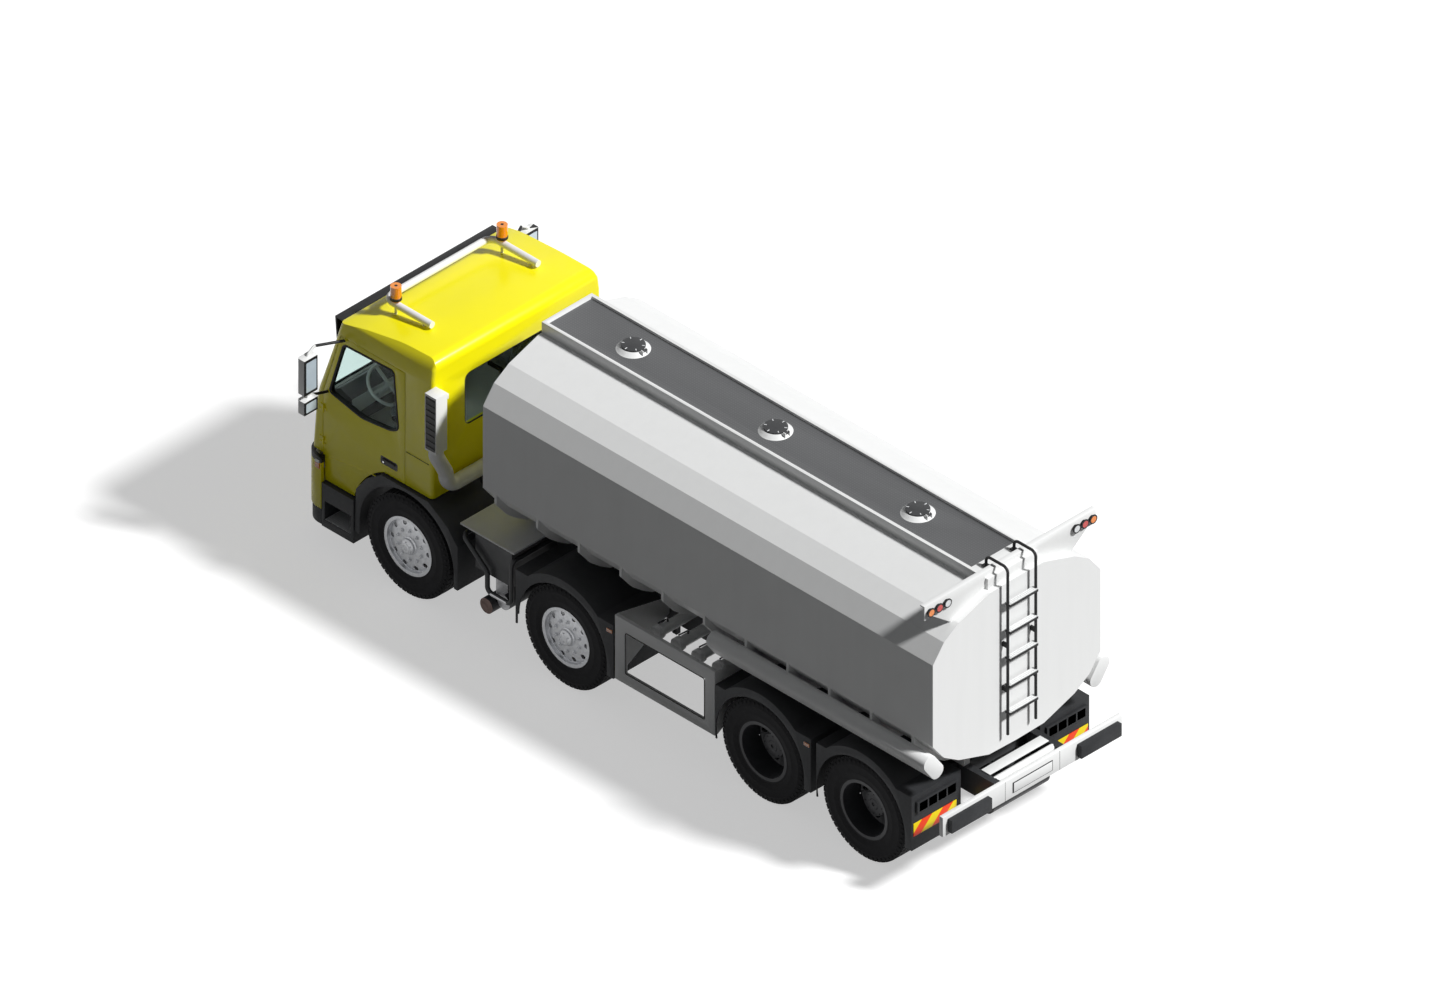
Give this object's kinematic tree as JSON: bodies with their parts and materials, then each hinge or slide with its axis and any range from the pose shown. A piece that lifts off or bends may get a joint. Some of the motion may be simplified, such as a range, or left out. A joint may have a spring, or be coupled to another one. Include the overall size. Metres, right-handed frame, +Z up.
{
  "type": "tanker truck",
  "caption": "Rigid tanker truck with a tilting cab, twin steered front axles, twin-wheel rear axles and a faceted tank with a top walkway.",
  "frame": {"origin": "on the ground, midway between the front of the bumper and the rear lamps", "axes": "+X ahead to the cab, +Y to the truck's left, +Z up"},
  "size_m": [8.775, 3.182, 3.422],
  "materials": {
    "cab_paint": "gloss",
    "white_paint": "gloss",
    "grey_paint": "satin",
    "dark_paint": "satin",
    "rim_paint": "satin",
    "dark_rim_paint": "satin",
    "cast_iron": "cast",
    "aluminium": "satin",
    "black_plastic": "matte",
    "lamp_plastic": "gloss",
    "amber_plastic": "gloss",
    "tyre": "matte",
    "seat_cloth": "woven",
    "glass": "clear"
  },
  "bodies": {
    "chassis": {"chassis_frame": "dark_paint", "axle_first": "cast_iron", "axle_second": "cast_iron", "axle_third": "cast_iron", "axle_fourth": "cast_iron", "engine": "cast_iron", "driveline": "cast_iron", "tank": "white_paint", "tank_cradles": "white_paint", "walkway": "white_paint", "ladder": "white_paint", "light_bar": "white_paint", "hose_tubes": "white_paint", "side_frame": "grey_paint", "pipework": "white_paint", "battery_bay": "grey_paint", "fuel_tank": "aluminium", "exhaust_box": "dark_paint", "rear_bumper": "grey_paint", "lamps": "lamp_plastic", "mudguards": "dark_paint", "front_bumper": "cab_paint", "steps": "dark_paint"},
    "cab": {"cab_shell": "cab_paint", "cab_glass": "glass", "cab_trim": "black_plastic", "roof_bar": "grey_paint", "beacons": "amber_plastic", "air_intake": "black_plastic", "seats": "seat_cloth", "dashboard": "black_plastic"},
    "door_left": {"door_left": "cab_paint", "door_glass_left": "glass", "mirrors_left": "black_plastic"},
    "door_right": {"door_right": "cab_paint", "door_glass_right": "glass", "mirrors_right": "black_plastic"},
    "lid_rear": {"lid_rear": "aluminium"},
    "lid_middle": {"lid_middle": "aluminium"},
    "lid_front": {"lid_front": "aluminium"},
    "knuckle_first_left": {"knuckle_first_left": "cast_iron"},
    "knuckle_first_right": {"knuckle_first_right": "cast_iron"},
    "knuckle_second_left": {"knuckle_second_left": "cast_iron"},
    "knuckle_second_right": {"knuckle_second_right": "cast_iron"},
    "wheel_first_left": {"tyre_first_left": "tyre", "rim_first_left": "rim_paint"},
    "wheel_first_right": {"tyre_first_right": "tyre", "rim_first_right": "rim_paint"},
    "wheel_second_left": {"tyre_second_left": "tyre", "rim_second_left": "rim_paint"},
    "wheel_second_right": {"tyre_second_right": "tyre", "rim_second_right": "rim_paint"},
    "wheel_third_left": {"tyres_third_left": "tyre", "rims_third_left": "dark_rim_paint"},
    "wheel_third_right": {"tyres_third_right": "tyre", "rims_third_right": "dark_rim_paint"},
    "wheel_fourth_left": {"tyres_fourth_left": "tyre", "rims_fourth_left": "dark_rim_paint"},
    "wheel_fourth_right": {"tyres_fourth_right": "tyre", "rims_fourth_right": "dark_rim_paint"}
  },
  "joints": [
    {"name": "steer_first_left", "type": "hinge", "parent": "chassis", "child": "knuckle_first_left", "pos_m": [2.994, 0.93, 0.561], "axis": [0, 0, 1], "range_deg": [-38, 38]},
    {"name": "steer_first_right", "type": "hinge", "parent": "chassis", "child": "knuckle_first_right", "pos_m": [2.994, -0.93, 0.561], "axis": [0, 0, 1], "range_deg": [-38, 38]},
    {"name": "steer_second_left", "type": "hinge", "parent": "chassis", "child": "knuckle_second_left", "pos_m": [0.849, 0.93, 0.561], "axis": [0, 0, 1], "range_deg": [-23, 23]},
    {"name": "steer_second_right", "type": "hinge", "parent": "chassis", "child": "knuckle_second_right", "pos_m": [0.849, -0.93, 0.561], "axis": [0, 0, 1], "range_deg": [-23, 23]},
    {"name": "roll_first_left", "type": "hinge", "parent": "knuckle_first_left", "child": "wheel_first_left", "pos_m": [2.994, 1.026, 0.561], "axis": [0, 1, 0], "continuous": true},
    {"name": "roll_first_right", "type": "hinge", "parent": "knuckle_first_right", "child": "wheel_first_right", "pos_m": [2.994, -1.026, 0.561], "axis": [0, 1, 0], "continuous": true},
    {"name": "roll_second_left", "type": "hinge", "parent": "knuckle_second_left", "child": "wheel_second_left", "pos_m": [0.849, 1.026, 0.561], "axis": [0, 1, 0], "continuous": true},
    {"name": "roll_second_right", "type": "hinge", "parent": "knuckle_second_right", "child": "wheel_second_right", "pos_m": [0.849, -1.026, 0.561], "axis": [0, 1, 0], "continuous": true},
    {"name": "roll_third_left", "type": "hinge", "parent": "chassis", "child": "wheel_third_left", "pos_m": [-1.831, 0.857, 0.561], "axis": [0, 1, 0], "continuous": true},
    {"name": "roll_third_right", "type": "hinge", "parent": "chassis", "child": "wheel_third_right", "pos_m": [-1.831, -0.857, 0.561], "axis": [0, 1, 0], "continuous": true},
    {"name": "roll_fourth_left", "type": "hinge", "parent": "chassis", "child": "wheel_fourth_left", "pos_m": [-3.201, 0.857, 0.561], "axis": [0, 1, 0], "continuous": true},
    {"name": "roll_fourth_right", "type": "hinge", "parent": "chassis", "child": "wheel_fourth_right", "pos_m": [-3.201, -0.857, 0.561], "axis": [0, 1, 0], "continuous": true},
    {"name": "cab_tilt", "type": "hinge", "parent": "chassis", "child": "cab", "pos_m": [4.31, 0, 0.93], "axis": [0, 1, 0], "range_deg": [0, 60]},
    {"name": "door_left", "type": "hinge", "parent": "cab", "child": "door_left", "pos_m": [4.149, 1.16, 1.5], "axis": [0, 0, -1], "range_deg": [0, 70]},
    {"name": "door_right", "type": "hinge", "parent": "cab", "child": "door_right", "pos_m": [4.149, -1.16, 1.5], "axis": [0, 0, 1], "range_deg": [0, 70]},
    {"name": "lid_rear_hinge", "type": "hinge", "parent": "chassis", "child": "lid_rear", "pos_m": [-2.921, 0, 3.3035], "axis": [0, -1, 0], "range_deg": [0, 100]},
    {"name": "lid_middle_hinge", "type": "hinge", "parent": "chassis", "child": "lid_middle", "pos_m": [-0.988, 0, 3.3035], "axis": [0, -1, 0], "range_deg": [0, 100]},
    {"name": "lid_front_hinge", "type": "hinge", "parent": "chassis", "child": "lid_front", "pos_m": [0.945, 0, 3.3035], "axis": [0, -1, 0], "range_deg": [0, 100]}
  ],
  "couplings": [
    {"joint": "steer_first_right", "follows": "steer_first_left", "ratio": 1},
    {"joint": "steer_second_left", "follows": "steer_first_left", "ratio": 0.6},
    {"joint": "steer_second_right", "follows": "steer_first_left", "ratio": 0.6}
  ]
}
